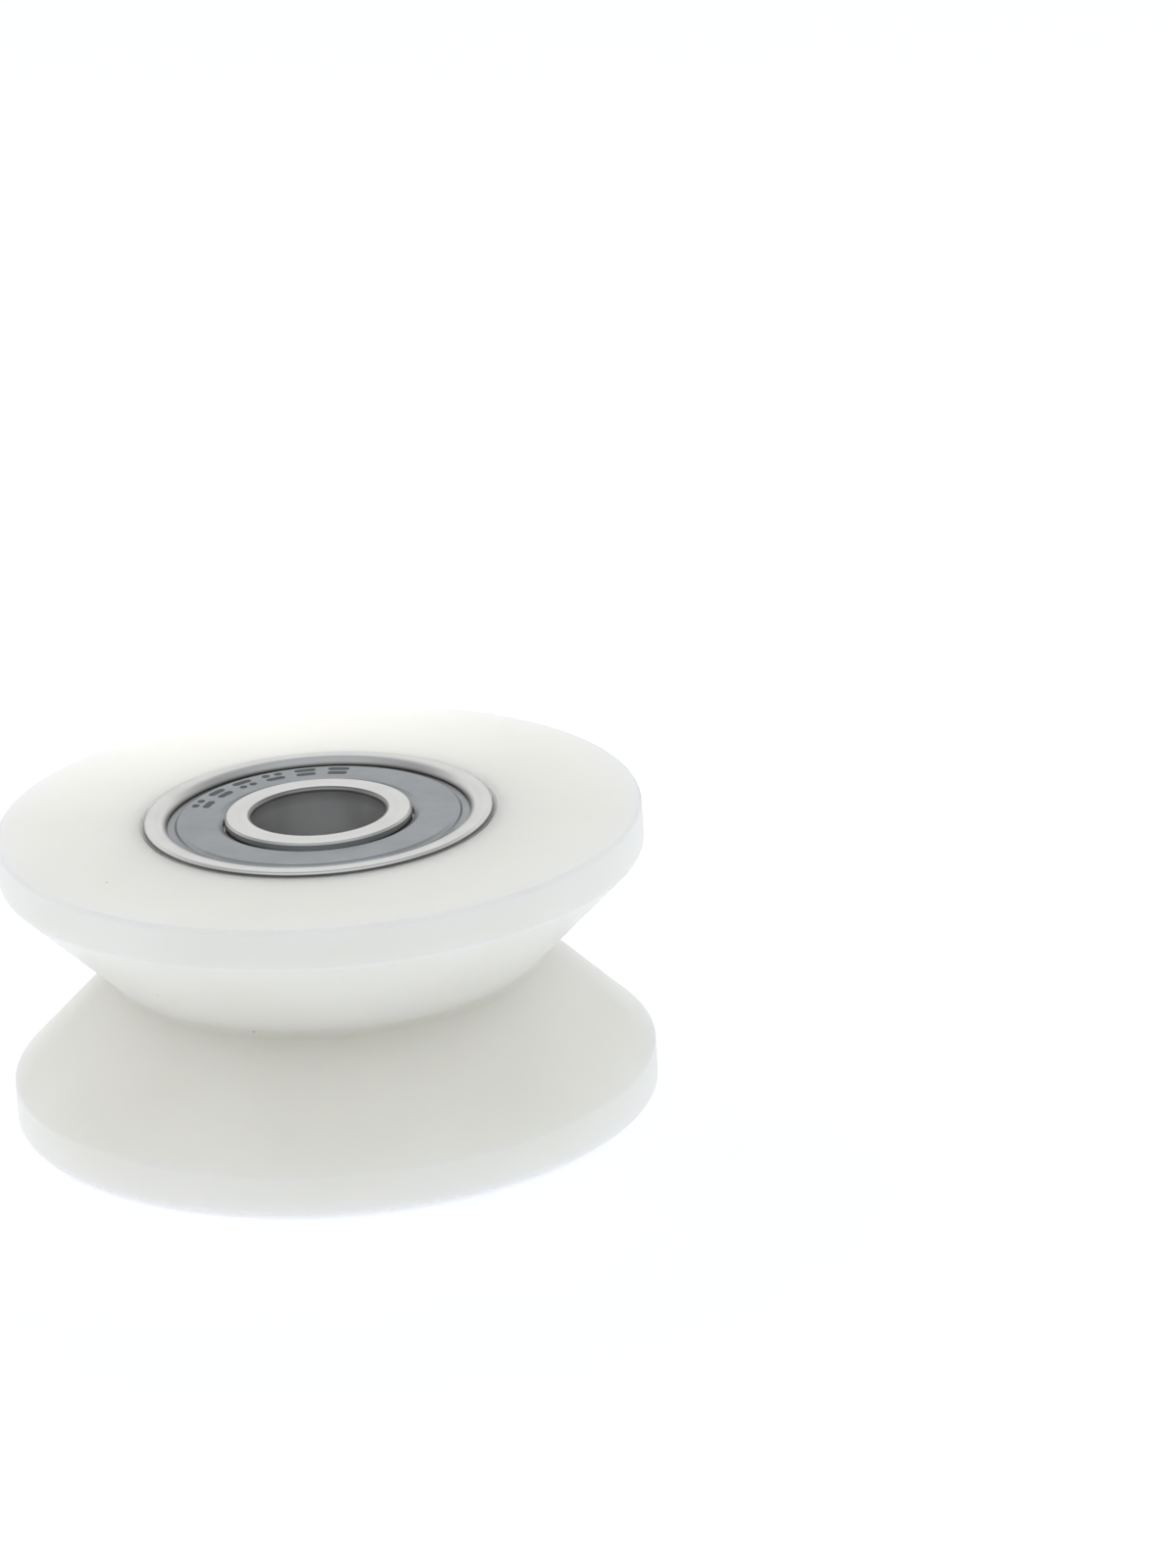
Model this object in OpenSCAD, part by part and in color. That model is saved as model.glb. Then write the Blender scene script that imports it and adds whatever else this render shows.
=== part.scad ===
// V groove guide wheel on two shielded ball bearings, lying on one face.
// The bearing axis is Z and the origin is the middle of the wheel.

/* [Wheel] */
// Diameter of the wheel over its rim
wheel_d = 48; // [46:0.5:56]
// Width of the wheel between its two flat faces
wheel_w = 22.2; // [21:0.2:26]
// Width of the mouth of the V groove at the rim
groove_w = 16; // [14:0.5:18]
// Angle between the two walls of the V groove
groove_angle = 90; // [85:1:100]
// Radius at the bottom of the V groove
root_r = 0.5; // [0.2:0.1:1]
// Radius that breaks the four edges of the rim
rim_r = 0.4; // [0.2:0.1:0.6]

/* [Bearing seats] */
// Distance that each bearing stands proud of the face of the wheel
bearing_proud = 0.3; // [0:0.1:0.8]
// Width of the chamfer at the mouth of each seat
seat_chamfer = 0.3; // [0.1:0.1:0.5]
// Width of the shoulder that each outer ring is pressed against
shoulder_w = 1.4; // [1:0.1:1.6]

/* [Bearing] */
// Diameter of the bore, for the axle
bore_d = 10; // [9.5:0.5:10.5]
// Outer diameter of the bearing
bearing_d = 26; // [25.5:0.5:27]
// Width of the bearing
bearing_w = 8; // [8:0.5:9]
// Diameter of the balls
ball_d = 4.7625; // [4.5:0.0125:4.85]
// Radius on the outer corners of the rings
ring_r = 0.3; // [0.2:0.1:0.4]
// Play between a ball and the race on each side
race_play = 0.02; // [0.01:0.01:0.05]

/* [Shields] */
// Thickness of the shield sheet
sheet_t = 0.25; // [0.2:0.05:0.3]
// Depth of the flat of the shield below the faces of the rings
shield_depth = 0.3; // [0.25:0.05:0.4]
// Gap between the inner edge of the shield and the inner ring
shield_gap = 0.15; // [0.1:0.05:0.2]
// Radius that rounds the mouth of the outer ring
mouth_round = 0.8; // [0.6:0.1:0.9]

/* [Cage] */
// Thickness of the cage strip
strip_t = 0.4; // [0.3:0.05:0.4]
// Play between a ball and its pocket
pocket_play = 0.12; // [0.08:0.02:0.14]
// Diameter of the shank of a cage rivet
rivet_d = 0.8; // [0.6:0.1:0.9]
// Play around the shank of a cage rivet
rivet_play = 0.01; // [0.01:0.01:0.03]

/* [Hidden] */
$fn = 96;
eps = 0.01;
arc_steps = 8;

// The wheel and its groove
wheel_r = wheel_d / 2;
groove_d = groove_w / 2 / tan(groove_angle / 2);
lip_r = 0.4;

// The bearing: radii from the axis, and heights from its own middle plane
ball_count = 7;
ball_step = 360 / ball_count;
bore_r = bore_d / 2;
bearing_r = bearing_d / 2;
half_w = bearing_w / 2;
ball_r = ball_d / 2;
pitch_r = (bore_r + bearing_r) / 2;
race_curve_r = 0.52 * ball_d;
inner_race_r = pitch_r - ball_r - race_play;
outer_race_r = pitch_r + ball_r + race_play;
race_depth = 0.16 * ball_d;
inner_shoulder_r = inner_race_r + race_depth;
outer_shoulder_r = outer_race_r - race_depth;
bearing_z = wheel_w / 2 + bearing_proud - half_w;

// The shield, its undercut in the outer ring, and the step for it in the inner ring
land_r = inner_shoulder_r - 0.4;
land_chamfer = 0.15;
shield_r = land_r + shield_gap;
bevel_w = 0.55;
bevel_h = 0.3;
curl_r = outer_shoulder_r - 0.15;
curl_w = 0.2;
curl_h = 0.3;
bend_r = 0.1;
mouth_r = outer_shoulder_r + 0.55;
undercut_r = mouth_r + 0.35;
rim_depth = shield_depth + curl_h + sheet_t;
lip_depth = shield_depth + 0.2;
land_depth = shield_depth + bevel_h + sheet_t + shield_gap;
mouth_a = asin((mouth_round - lip_depth) / mouth_round);

// The cage
cage_in_r = inner_shoulder_r + 0.5;
cage_out_r = outer_shoulder_r - 0.5;
pocket_r = ball_r + pocket_play;
rivet_head_d = 1.75 * rivet_d;
rivet_head_h = 0.3;

SIDES = ["upper", "lower"];
PIECES = ["outer_ring", "inner_ring", "front_shield", "back_shield",
          "front_cage", "back_cage", "cage_rivets"];

// Points of an arc, from angle a to angle b
function arc(centre, r, a, b) =
    [for (i = [0:arc_steps]) centre + r * [cos(a + (b - a) * i / arc_steps), sin(a + (b - a) * i / arc_steps)]];

// Points that round the corner q, on the way from p to s
function bend(p, q, s, r) =
    let (
        u = (p - q) / norm(p - q),
        v = (s - q) / norm(s - q),
        half = acos(u * v) / 2,
        centre = q + (u + v) / norm(u + v) * r / sin(half),
        from = q + u * r / tan(half) - centre,
        to = q + v * r / tan(half) - centre,
        a = atan2(from[1], from[0]),
        turn = atan2(from[0] * to[1] - from[1] * to[0], from * to)
    )
    arc(centre, r, a, a + turn);

function flip(points) = [for (i = [len(points) - 1:-1:0]) [points[i][0], -points[i][1]]];

// Upper half of the wheel's outline, from the bottom of the groove to the seat.
// Each arc is tangent to the straight runs beside it.
wall_a = 90 - groove_angle / 2;
root_centre = [wheel_r - groove_d + root_r / sin(groove_angle / 2), 0];
lip_centre = [wheel_r - lip_r, groove_w / 2 + lip_r * tan(wall_a / 2)];
rim_centre = [wheel_r - rim_r, wheel_w / 2 - rim_r];
seat_r = bearing_r;
seat_floor = bearing_z - half_w;
web_r = bearing_r - shoulder_w;

half_outline = concat(
    arc(root_centre, root_r, 180, 180 - wall_a),
    arc(lip_centre, lip_r, -wall_a, 0),
    arc(rim_centre, rim_r, 0, 90),
    [
        [seat_r + seat_chamfer, wheel_w / 2],
        [seat_r, wheel_w / 2 - seat_chamfer],
        [seat_r, seat_floor],
        [web_r, seat_floor]
    ]
);

module wheel() {
    color("#e9ebe6")
        rotate_extrude()
            polygon(concat(half_outline, flip(half_outline)));
}

// Ground ring with a race inside, and an undercut for each shield's rim
module outer_ring() {
    step = half_w - rim_depth;
    color("#c9ccd0")
        difference() {
            rotate_extrude()
                polygon(concat(
                    [[outer_shoulder_r, -step], [undercut_r, -step], [undercut_r, lip_depth - half_w]],
                    arc([mouth_r + mouth_round, mouth_round - half_w], mouth_round, 180 + mouth_a, 270),
                    arc([bearing_r - ring_r, ring_r - half_w], ring_r, -90, 0),
                    arc([bearing_r - ring_r, half_w - ring_r], ring_r, 0, 90),
                    arc([mouth_r + mouth_round, half_w - mouth_round], mouth_round, 90, 180 - mouth_a),
                    [[undercut_r, half_w - lip_depth], [undercut_r, step], [outer_shoulder_r, step]]
                ));
            race(outer_race_r - race_curve_r);
        }
}

// Ground ring with a race outside, and a step down for each shield's inner edge
module inner_ring() {
    step = half_w - land_depth;
    color("#d3d6da")
        difference() {
            rotate_extrude()
                polygon(concat(
                    arc([bore_r + ring_r, ring_r - half_w], ring_r, 180, 270),
                    [[land_r - land_chamfer, -half_w], [land_r, land_chamfer - half_w]],
                    [[land_r, -step], [inner_shoulder_r, -step]],
                    [[inner_shoulder_r, step], [land_r, step]],
                    [[land_r, half_w - land_chamfer], [land_r - land_chamfer, half_w]],
                    arc([bore_r + ring_r, half_w - ring_r], ring_r, 90, 180)
                ));
            race(inner_race_r + race_curve_r);
        }
}

// Round groove that the balls run in, as a torus to cut away
module race(centre_r) {
    rotate_extrude()
        translate([centre_r, 0])
            circle(r = race_curve_r);
}

// Pressed sheet: a bevel that dips beside the inner ring, a flat, and a rim
// that is curled into the undercut of the outer ring. Each bend is rounded.
module shield() {
    top = half_w - shield_depth;
    rim_top = top - curl_h;
    bevel_front = [shield_r + bevel_w, top];
    bevel_back = [shield_r + bevel_w, top - sheet_t];
    flat_front = [curl_r, top];
    flat_back = [curl_r - curl_w, top - sheet_t];
    rim_front = [curl_r + curl_w, rim_top];
    rim_back = [curl_r, rim_top - sheet_t];
    color("#b4b6b8")
        rotate_extrude()
            polygon(concat(
                bend([shield_r, top - bevel_h], bevel_front, flat_front, bend_r + sheet_t),
                bend(bevel_front, flat_front, rim_front, bend_r + sheet_t),
                bend(flat_front, rim_front, [undercut_r, rim_top], bend_r),
                [[undercut_r, rim_top], [undercut_r, rim_top - sheet_t]],
                bend([undercut_r, rim_top - sheet_t], rim_back, flat_back, bend_r + sheet_t),
                bend(rim_back, flat_back, bevel_back, bend_r),
                bend(flat_back, bevel_back, [shield_r, top - bevel_h - sheet_t], bend_r),
                [[shield_r, top - bevel_h - sheet_t], [shield_r, top - bevel_h]]
            ));
}

// One pressed half of the cage: a flat strip with a round pocket over each ball
module cage_half() {
    color("#b9a98c")
        difference() {
            intersection() {
                union() {
                    cylinder(r = cage_out_r, h = strip_t);
                    at_balls() sphere(r = pocket_r + strip_t);
                }
                difference() {
                    cylinder(r = cage_out_r, h = half_w);
                    translate([0, 0, -eps])
                        cylinder(r = cage_in_r, h = half_w + 2 * eps);
                }
            }
            at_balls() sphere(r = pocket_r);
            at_rivets() cylinder(d = rivet_d + 2 * rivet_play, h = 4 * strip_t, center = true);
        }
}

module cage_rivets() {
    color("#d8d8d6")
        at_rivets() {
            cylinder(d = rivet_d, h = 2 * strip_t + 2 * eps, center = true);
            for (end = [-1, 1])
                translate([0, 0, end * (strip_t + rivet_head_h / 2)])
                    cylinder(d = rivet_head_d, h = rivet_head_h, center = true);
        }
}

module ball(i) {
    color("#e4e7ea")
        rotate([0, 0, ball_step * (i - 1)])
            translate([pitch_r, 0, 0])
                sphere(r = ball_r);
}

module at_balls() {
    for (i = [0:ball_count - 1])
        rotate([0, 0, ball_step * i])
            translate([pitch_r, 0, 0])
                children();
}

module at_rivets() {
    rotate([0, 0, ball_step / 2])
        at_balls() children();
}

// Moves a bearing's piece into its seat, with its front towards the nearer face
module seated(side) {
    rotate([side == "upper" ? 0 : 180, 0, 0])
        translate([0, 0, bearing_z])
            children();
}

module turned_over() {
    rotate([180, 0, 0]) children();
}

wheel();

for (side = SIDES) seated(side) {
    outer_ring();
    inner_ring();
    shield();
    turned_over() shield();
    cage_half();
    turned_over() cage_half();
    cage_rivets();
    for (i = [1:ball_count])
        ball(i);
}
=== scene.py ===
"""Looks of a V groove guide wheel that turns on two shielded ball bearings.

The wheel lies on one face on a pale floor. Sizes are in metres, in the frame of the CAD part: the
bearing axis is Z and the origin is the middle of the wheel."""

import math

import bmesh
import bpy
from mathutils import Matrix, Vector


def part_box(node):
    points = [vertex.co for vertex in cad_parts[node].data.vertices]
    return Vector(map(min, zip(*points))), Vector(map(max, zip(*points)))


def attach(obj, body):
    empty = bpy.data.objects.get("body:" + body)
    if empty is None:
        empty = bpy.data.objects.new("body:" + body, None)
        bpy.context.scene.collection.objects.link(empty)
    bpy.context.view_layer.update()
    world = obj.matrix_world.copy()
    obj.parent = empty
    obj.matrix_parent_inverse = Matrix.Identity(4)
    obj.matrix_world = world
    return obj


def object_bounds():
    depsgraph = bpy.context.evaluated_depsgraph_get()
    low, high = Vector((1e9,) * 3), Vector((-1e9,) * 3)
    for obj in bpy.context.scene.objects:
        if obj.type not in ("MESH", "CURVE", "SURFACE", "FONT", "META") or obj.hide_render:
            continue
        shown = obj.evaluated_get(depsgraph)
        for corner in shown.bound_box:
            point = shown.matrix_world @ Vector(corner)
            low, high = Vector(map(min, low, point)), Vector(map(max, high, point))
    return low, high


MM = 0.001

# Camera: it stands in front of the wheel and looks past its right side. Its angles are in degrees
# and its lens is in millimetres.
CAMERA_PLACE = Vector((0, -661.1, 254.0)) * MM
CAMERA_TURN = 1.74
CAMERA_DIP = 20.10
CAMERA_ROLL = -3.54
CAMERA_LENS = 218.2

# Floor: it lies a hair under the wheel, and glows so that it reads as plain white
FLOOR_SIZE = 6.0
FLOOR_GAP = 0.01 * MM
FLOOR_COLOR = (0.94, 0.955, 0.97, 1)
FLOOR_GLOW = (0.985, 1.0, 1.12, 1)
FLOOR_GLOW_STRENGTH = 0.318

# Sky: colours from straight down to straight up, in front of the wheel and behind it. The back
# ones fade into the front ones between two values of the direction's Y.
SKY_FRONT = [
    (0, 0, 0),
    (0.02, 0.02, 0.02),
    (0.60, 0.60, 0.58),
    (1.34, 1.365, 1.41),
    (0.57, 0.62, 0.68),
]
SKY_BACK = [
    (0, 0, 0),
    (1.09, 1.095, 1.12),
    (0.97, 0.97, 0.98),
    (0.28, 0.285, 0.30),
    (0.59, 0.635, 0.69),
]
SKY_FADE = (0.2, -0.5)
SKY_STRENGTH = 2

# Lamps: place, diameter, power and colour
LAMPS = {
    "left_lamp": ((-0.4, 0.05, 0.4), 0.4, 0.175, (1.0, 1.0, 1.0)),
    "right_lamp": ((0.4, 0.05, 0.4), 0.4, 0.152, (0.87, 1.0, 1.1)),
    "back_lamp": ((-0.006, 0.04, 0.036), 0.036, 0.0062, (1.02, 1.0, 0.97)),
}

# Sizes of a bearing's rings for its finish and its painted corner shade, in millimetres: the bore,
# the rounded corners, how far the turned steps and the rounded mouth lie in from a wall, half the
# length of a ground wall, and the width of a wall's edge, where the grinding gives way to the
# corner's painted shade
BORE_R = 5
CORNER = 0.3
STEP_IN = 1
MOUTH_IN = 0.8
WALL_HALF = 3.6
EDGE = 0.03

# Dark specks in the plastic: how many cells there are in a millimetre, where in its cell a speck
# begins and is full, and how strong it is
SPECK_CELLS = 0.16
SPECK_EDGE = (0.022, 0.014)
SPECK_SHARE = 0.6

# Marks on the front of each bearing: plain dashes and pairs of pips, in an outer and an inner row.
# Angles are in degrees, and a pip's span and offset are shares of a dash's span.
MARKS = [
    ("pips", "dash"),
    ("dash", "dash"),
    ("dash", "pips"),
    ("pips", "dash"),
    ("dash", "dash"),
    ("dash", "dash"),
]
MARK_FIRST = 154.5
MARK_STEP = -15
MARK_RADII = (9.8 * MM, 8.95 * MM)
MARK_SPAN = 9.5
MARK_WIDTH = 0.55 * MM
MARK_HEIGHT = 0.012 * MM
PIP_SPAN = 0.4
PIP_OFFSETS = (0.3, -0.3)
ARC_STEPS = 8

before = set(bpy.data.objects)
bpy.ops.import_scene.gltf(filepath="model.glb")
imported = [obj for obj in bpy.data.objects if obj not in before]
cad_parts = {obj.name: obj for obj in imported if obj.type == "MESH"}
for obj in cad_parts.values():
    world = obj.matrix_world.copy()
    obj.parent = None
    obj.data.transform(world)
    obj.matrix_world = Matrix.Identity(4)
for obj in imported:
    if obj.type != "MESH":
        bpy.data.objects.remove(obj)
cad_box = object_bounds()

# The outside of a bearing and the height of its middle, in millimetres
ring_low, ring_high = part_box("upper_outer_ring")
bearing_r = (ring_high.x - ring_low.x) / 2 / MM
bearing_z = (ring_high.z + ring_low.z) / 2 / MM


# ---------------------------------------------------------------- node helpers
def material(name, **values):
    """A new node material. Returns it with its tree and its Principled shader."""
    made = bpy.data.materials.new(name)
    made.use_nodes = True
    shader = made.node_tree.nodes["Principled BSDF"]
    for socket, value in values.items():
        shader.inputs[socket.replace("_", " ")].default_value = value
    return made, made.node_tree, shader


def node(tree, kind, inputs, **options):
    """A new node. An input that is another node's socket is linked, and any other is set."""
    made = tree.nodes.new("ShaderNode" + kind)
    for name, value in options.items():
        setattr(made, name, value)
    for name, value in inputs.items():
        if isinstance(value, bpy.types.NodeSocket):
            tree.links.new(value, made.inputs[name])
        else:
            made.inputs[name].default_value = value
    return made


def maths(tree, operation, a, b=0.0, c=0.0):
    return node(tree, "Math", {0: a, 1: b, 2: c}, operation=operation).outputs[0]


def millimetres(tree):
    """The place on the object in millimetres, which turns with the object."""
    place = node(tree, "TexCoord", {}).outputs["Object"]
    scaled = node(tree, "VectorMath", {0: place, "Scale": 1 / MM}, operation="SCALE")
    return scaled.outputs[0]


def lathe_place(tree, place):
    """(distance from the axis, height) of a place."""
    parts = node(tree, "SeparateXYZ", {0: place}).outputs
    flat = node(tree, "CombineXYZ", {0: parts[0], 1: parts[1]}).outputs[0]
    radius = node(tree, "VectorMath", {0: flat}, operation="LENGTH").outputs["Value"]
    return radius, parts[2]


def noise(tree, place, scale, detail=2.0, roughness=0.5, dimensions="3D"):
    made = node(
        tree,
        "TexNoise",
        {"Vector": place, "Scale": scale, "Detail": detail, "Roughness": roughness},
        noise_dimensions=dimensions,
    )
    return made.outputs["Fac"]


def spread(tree, value, low, high, start=0.3, end=0.7):
    """Maps a value from start..end to low..high."""
    inputs = {"Value": value, "From Min": start, "From Max": end, "To Min": low, "To Max": high}
    return node(tree, "MapRange", inputs).outputs[0]


def rise(tree, value, start, end):
    """0 at start, 1 at end, and level past them. It falls where end is the smaller one."""
    return spread(tree, value, 0, 1, start, end)


def blend(tree, share, a, b):
    return node(tree, "Mix", {0: share, 2: a, 3: b}).outputs[0]


def blend_colours(tree, share, a, b):
    return node(tree, "Mix", {0: share, 6: a, 7: b}, data_type="RGBA").outputs[2]


def bump(tree, height, distance, strength=1.0, normal=None):
    inputs = {"Height": height, "Distance": distance, "Strength": strength}
    if normal is not None:
        inputs["Normal"] = normal
    return node(tree, "Bump", inputs).outputs[0]


# ---------------------------------------------------------------- materials
def wheel_plastic():
    """Milky engineering plastic, turned, with a faint clouding inside and a few dark specks."""
    made, tree, shader = material(
        "wheel_plastic",
        Subsurface_Weight=1.0,
        Subsurface_Radius=(0.9, 0.93, 1.0),
        Subsurface_Scale=4.5 * MM,
        IOR=1.5,
    )
    place = millimetres(tree)
    radius, height = lathe_place(tree, place)
    profile = node(tree, "CombineXYZ", {0: radius, 1: height}).outputs[0]
    cloud = noise(tree, place, 0.09, detail=3)
    milky = blend_colours(
        tree, spread(tree, cloud, 0, 1), (0.880, 0.867, 0.795, 1), (0.908, 0.895, 0.827, 1)
    )
    cells = node(tree, "TexVoronoi", {"Vector": place, "Scale": SPECK_CELLS}).outputs["Distance"]
    speck = maths(tree, "MULTIPLY", rise(tree, cells, *SPECK_EDGE), SPECK_SHARE)
    colour = blend_colours(tree, speck, milky, (0.42, 0.40, 0.34, 1))
    tree.links.new(colour, shader.inputs["Base Color"])
    turned = noise(tree, profile, 5.5, detail=4, roughness=0.6, dimensions="2D")
    grain = noise(tree, place, 9.0, detail=3)
    tree.links.new(spread(tree, grain, 0.34, 0.44), shader.inputs["Roughness"])
    rings = bump(tree, turned, 0.0016 * MM)
    tree.links.new(bump(tree, grain, 0.0012 * MM, normal=rings), shader.inputs["Normal"])
    return made


def ring_finish(tree, radius, height):
    """How far a place on a ring is on a ground face, on a ground wall, and on a turned step.

    The walls are the bore and the outside. All three shares are 0 on the rounded corners, which
    get painted shade."""
    normal = node(tree, "TexCoord", {}).outputs["Normal"]
    upright = maths(tree, "ABSOLUTE", node(tree, "SeparateXYZ", {0: normal}).outputs[2])
    above = maths(tree, "SUBTRACT", maths(tree, "ABSOLUTE", height), bearing_z)
    from_middle = maths(tree, "ABSOLUTE", above)

    mouth = bearing_r - MOUTH_IN
    in_mouth = rise(tree, radius, mouth + 0.1, mouth)
    face = blend(tree, in_mouth, rise(tree, upright, 0.4, 0.7), rise(tree, upright, 0.45, 0.92))
    past_corner = rise(tree, radius, BORE_R + CORNER - 0.08, BORE_R + CORNER)
    face = maths(tree, "MULTIPLY", face, past_corner)

    bore = rise(tree, radius, BORE_R + 2 * EDGE, BORE_R + EDGE)
    outside = rise(tree, radius, bearing_r - 2 * EDGE, bearing_r - EDGE)
    wall = maths(tree, "MAXIMUM", bore, outside)
    # Near its ends a wall fades into the painted corner shade
    fading = spread(tree, from_middle, 1, 0.62, WALL_HALF - 0.8, WALL_HALF)
    wall = maths(tree, "MULTIPLY", wall, fading)
    wall = maths(tree, "MULTIPLY", wall, rise(tree, from_middle, WALL_HALF + 0.1, WALL_HALF))

    inner_step, outer_step = BORE_R + STEP_IN, bearing_r - STEP_IN
    step = rise(tree, upright, 0.4, 0.2)
    step = maths(tree, "MULTIPLY", step, rise(tree, radius, inner_step, inner_step + 0.2))
    step = maths(tree, "MULTIPLY", step, rise(tree, radius, outer_step + 0.2, outer_step))
    return face, wall, step


def ring_steel():
    """Ground faces with fine rings round the axis, and painted shade in the rounded corners.

    On the walls the rings spread the light across themselves, so the gloss is drawn out at right
    angles to them."""
    made, tree, shader = material("ring_steel", Metallic=1.0, Anisotropic_Rotation=0.25)
    round_axis = node(tree, "Tangent", {}, direction_type="RADIAL", axis="Z").outputs[0]
    tree.links.new(round_axis, shader.inputs["Tangent"])
    place = millimetres(tree)
    radius, height = lathe_place(tree, place)
    profile = node(tree, "CombineXYZ", {0: radius, 1: height}).outputs[0]
    rings = noise(tree, profile, 7.0, detail=5, roughness=0.7, dimensions="2D")
    patches = noise(tree, place, 0.35, detail=3)
    share = maths(tree, "MULTIPLY_ADD", rings, 0.6, maths(tree, "MULTIPLY", patches, 0.4))
    face, wall, step = ring_finish(tree, radius, height)
    ground = maths(tree, "MAXIMUM", face, wall)
    tree.links.new(maths(tree, "MULTIPLY", wall, 0.8), shader.inputs["Anisotropic"])
    tone = spread(tree, share, 0, 1)
    bright = blend_colours(tree, tone, (0.74, 0.735, 0.705, 1), (0.79, 0.785, 0.755, 1))
    bright = blend_colours(tree, wall, bright, (0.80, 0.80, 0.80, 1))
    # Painted shade in the rounded corners, a little lighter at the bore; the turned steps are a
    # lighter grey
    corner_shade = blend_colours(tree, tone, (0.17, 0.17, 0.165, 1), (0.21, 0.21, 0.20, 1))
    at_bore = rise(tree, radius, BORE_R + CORNER + 0.1, BORE_R + CORNER)
    corner_shade = blend_colours(tree, at_bore, corner_shade, (0.27, 0.27, 0.265, 1))
    turned = blend_colours(tree, step, corner_shade, (0.44, 0.44, 0.43, 1))
    tree.links.new(blend_colours(tree, ground, turned, bright), shader.inputs["Base Color"])
    tree.links.new(spread(tree, share, 0.41, 0.31), shader.inputs["Roughness"])
    tree.links.new(bump(tree, rings, 0.0003 * MM), shader.inputs["Normal"])
    return made


def sheet_steel(name, colour, darker, roughness):
    """Rolled sheet: a fine grain along X, over slow patches."""
    made, tree, shader = material(name, Metallic=1.0)
    place = millimetres(tree)
    scaled = node(tree, "VectorMath", {0: place, 1: (0.6, 9.0, 9.0)}, operation="MULTIPLY")
    grain = noise(tree, scaled.outputs[0], 1.0, detail=4, roughness=0.65)
    patches = noise(tree, place, 0.5, detail=3)
    share = maths(tree, "MULTIPLY_ADD", grain, 0.6, maths(tree, "MULTIPLY", patches, 0.4))
    tone = blend_colours(tree, spread(tree, share, 0, 1), darker, colour)
    gloss = spread(tree, share, roughness + 0.05, roughness - 0.05)
    tree.links.new(tone, shader.inputs["Base Color"])
    tree.links.new(gloss, shader.inputs["Roughness"])
    tree.links.new(bump(tree, grain, 0.0008 * MM), shader.inputs["Normal"])
    return made


def polished_steel(name, colour, darker, roughness):
    """Lapped steel with a trace of fine scuffs."""
    made, tree, shader = material(name, Metallic=1.0)
    place = millimetres(tree)
    scuffs = noise(tree, place, 3.0, detail=6, roughness=0.75)
    tone = blend_colours(tree, spread(tree, scuffs, 0, 1), darker, colour)
    gloss = spread(tree, scuffs, roughness * 0.7, roughness * 1.6)
    tree.links.new(tone, shader.inputs["Base Color"])
    tree.links.new(gloss, shader.inputs["Roughness"])
    tree.links.new(bump(tree, scuffs, 0.0003 * MM), shader.inputs["Normal"])
    return made


# Colour, darker colour and roughness of each sheet steel and of each polished steel
SHEETS = {
    "shield_steel": ((0.415, 0.43, 0.435, 1), (0.375, 0.39, 0.395, 1), 0.42),
    "cage_steel": ((0.56, 0.52, 0.44, 1), (0.48, 0.45, 0.39, 1), 0.35),
    "etched_steel": ((0.18, 0.19, 0.195, 1), (0.15, 0.16, 0.165, 1), 0.6),
}
POLISHED = {
    "ball_steel": ((0.80, 0.81, 0.82, 1), (0.76, 0.77, 0.78, 1), 0.06),
    "rivet_steel": ((0.66, 0.66, 0.65, 1), (0.60, 0.60, 0.59, 1), 0.22),
}
FINISHES = {"wheel_plastic": wheel_plastic(), "ring_steel": ring_steel()}
for finish, values in SHEETS.items():
    FINISHES[finish] = sheet_steel(finish, *values)
for finish, values in POLISHED.items():
    FINISHES[finish] = polished_steel(finish, *values)


def dress_nodes():
    """Gives each CAD node the finish of its material slot."""
    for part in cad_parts.values():
        for holder in part.material_slots:
            holder.material = FINISHES[holder.material.name.split(".")[0]]


# ---------------------------------------------------------------- marks on the bearings
def polar(radius, angle, height):
    return Vector((radius * math.cos(angle), radius * math.sin(angle), height))


def mark_outline(radius, span, middle):
    """Outline of one mark, as (radius, angle): a bar bent round the axis, with round ends."""
    half = MARK_WIDTH / 2
    end_span = half / radius
    reach = span / 2 - end_span
    points = []
    for end in (1, -1):
        for i in range(ARC_STEPS + 1):
            turn = math.pi * i / ARC_STEPS
            angle = middle + end * (reach + end_span * math.sin(turn))
            points.append((radius + end * half * math.cos(turn), angle))
        for i in range(1, ARC_STEPS):
            points.append((radius - end * half, middle + end * reach * (1 - 2 * i / ARC_STEPS)))
    return points


def add_mark(made, radius, kind, middle, flat, facing):
    """Adds a dash or a pair of pips, which stand a hair proud of the flat."""
    span = math.radians(MARK_SPAN)
    bars = [(span, middle)]
    if kind == "pips":
        bars = [(span * PIP_SPAN, middle + span * offset) for offset in PIP_OFFSETS]
    for bar_span, bar_middle in bars:
        outline = mark_outline(radius, bar_span, bar_middle)
        rims = []
        for level in (flat, flat + facing * MARK_HEIGHT):
            rims.append([made.verts.new(polar(r, a, level)) for r, a in outline])
        made.faces.new(rims[1])
        for j in range(len(outline)):
            k = (j + 1) % len(outline)
            made.faces.new([rims[0][j], rims[0][k], rims[1][k], rims[1][j]])


def shield_marks(side, facing):
    """Etched marks on the flat of a front shield."""
    low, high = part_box(side + "_front_shield")
    flat = high.z if facing > 0 else low.z
    made = bmesh.new()
    for i, kinds in enumerate(MARKS):
        middle = math.radians(MARK_FIRST + MARK_STEP * i)
        for radius, kind in zip(MARK_RADII, kinds):
            add_mark(made, radius, kind, middle, flat, facing)
    bmesh.ops.recalc_face_normals(made, faces=made.faces)
    mesh = bpy.data.meshes.new(side + "_shield_marks")
    made.to_mesh(mesh)
    made.free()
    marks = bpy.data.objects.new(side + "_shield_marks", mesh)
    bpy.context.scene.collection.objects.link(marks)
    mesh.materials.append(FINISHES["etched_steel"])
    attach(marks, "wheel_body")


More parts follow.
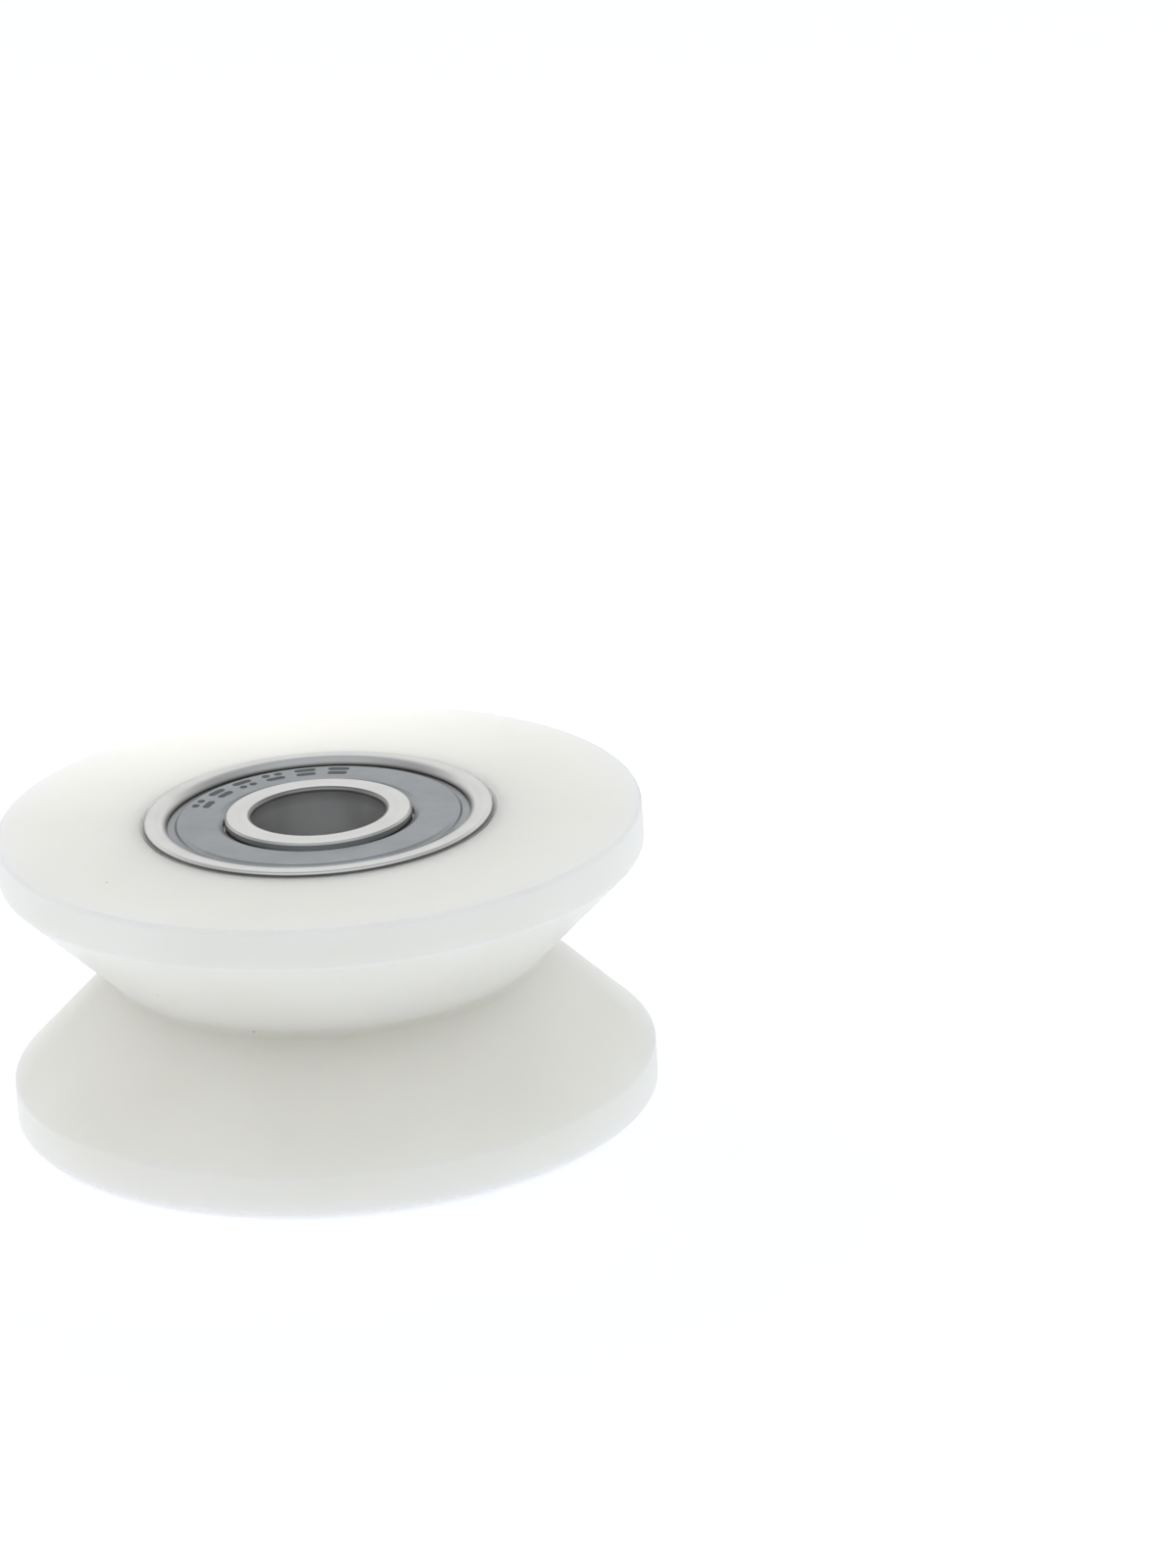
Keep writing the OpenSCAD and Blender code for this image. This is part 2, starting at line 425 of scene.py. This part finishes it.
# ---------------------------------------------------------------- surroundings
def floor():
    mesh = bpy.data.meshes.new("floor")
    half, level = FLOOR_SIZE / 2, cad_box[0].z - FLOOR_GAP
    signs = [(-1, -1), (1, -1), (1, 1), (-1, 1)]
    corners = [(half * x, half * y, level) for x, y in signs]
    mesh.from_pydata(corners, [], [(0, 1, 2, 3)])
    made, _, shader = material(
        "floor", Base_Color=FLOOR_COLOR, Roughness=0.9, Specular_IOR_Level=0.2
    )
    shader.inputs["Emission Color"].default_value = FLOOR_GLOW
    shader.inputs["Emission Strength"].default_value = FLOOR_GLOW_STRENGTH
    mesh.materials.append(made)
    plane = bpy.data.objects.new("floor", mesh)
    bpy.context.scene.collection.objects.link(plane)


def sky():
    """A dome in soft bands from the horizon up: a high soft light in front, a pale wall behind."""
    world = bpy.data.worlds.new("studio")
    world.use_nodes = True
    tree = world.node_tree
    direction = node(tree, "TexCoord", {}).outputs["Generated"]
    parts = node(tree, "SeparateXYZ", {0: direction}).outputs
    halves = []
    for colours in (SKY_BACK, SKY_FRONT):
        bands = node(tree, "ValToRGB", {0: parts[2]})
        ramp = bands.color_ramp
        while len(ramp.elements) < len(colours):
            ramp.elements.new(0.5)
        for i, colour in enumerate(colours):
            ramp.elements[i].position = i / (len(colours) - 1)
            ramp.elements[i].color = [part / SKY_STRENGTH for part in colour] + [1]
        halves.append(bands.outputs[0])
    inputs = {"Value": parts[1], "From Min": SKY_FADE[0], "From Max": SKY_FADE[1]}
    front = node(tree, "MapRange", inputs, interpolation_type="SMOOTHSTEP").outputs[0]
    tree.links.new(blend_colours(tree, front, *halves), tree.nodes["Background"].inputs["Color"])
    tree.nodes["Background"].inputs["Strength"].default_value = SKY_STRENGTH
    bpy.context.scene.world = world


def lamp(name, place, size, power, colour):
    """A round soft lamp that faces the middle of the wheel, and isn't mirrored in the steel."""
    light = bpy.data.lights.new(name, "AREA")
    light.shape = "DISK"
    light.size = size
    light.energy = power
    light.color = colour
    made = bpy.data.objects.new(name, light)
    made.location = place
    made.rotation_mode = "QUATERNION"
    made.rotation_quaternion = (-Vector(place)).to_track_quat("-Z", "Y")
    made.visible_camera = False
    made.visible_glossy = False
    bpy.context.scene.collection.objects.link(made)


def camera():
    lens = bpy.data.cameras.new("camera")
    lens.sensor_width = 36
    lens.lens = CAMERA_LENS
    lens.clip_start = 0.05
    made = bpy.data.objects.new("camera", lens)
    made.matrix_world = (
        Matrix.Translation(CAMERA_PLACE)
        @ Matrix.Rotation(math.radians(-CAMERA_TURN), 4, "Z")
        @ Matrix.Rotation(math.radians(90 - CAMERA_DIP), 4, "X")
        @ Matrix.Rotation(math.radians(CAMERA_ROLL), 4, "Z")
    )
    bpy.context.scene.collection.objects.link(made)
    bpy.context.scene.camera = made


dress_nodes()
shield_marks("upper", 1)
shield_marks("lower", -1)
floor()
sky()
for lamp_name, lamp_values in LAMPS.items():
    lamp(lamp_name, *lamp_values)
camera()
bpy.context.scene.view_settings.view_transform = "Standard"
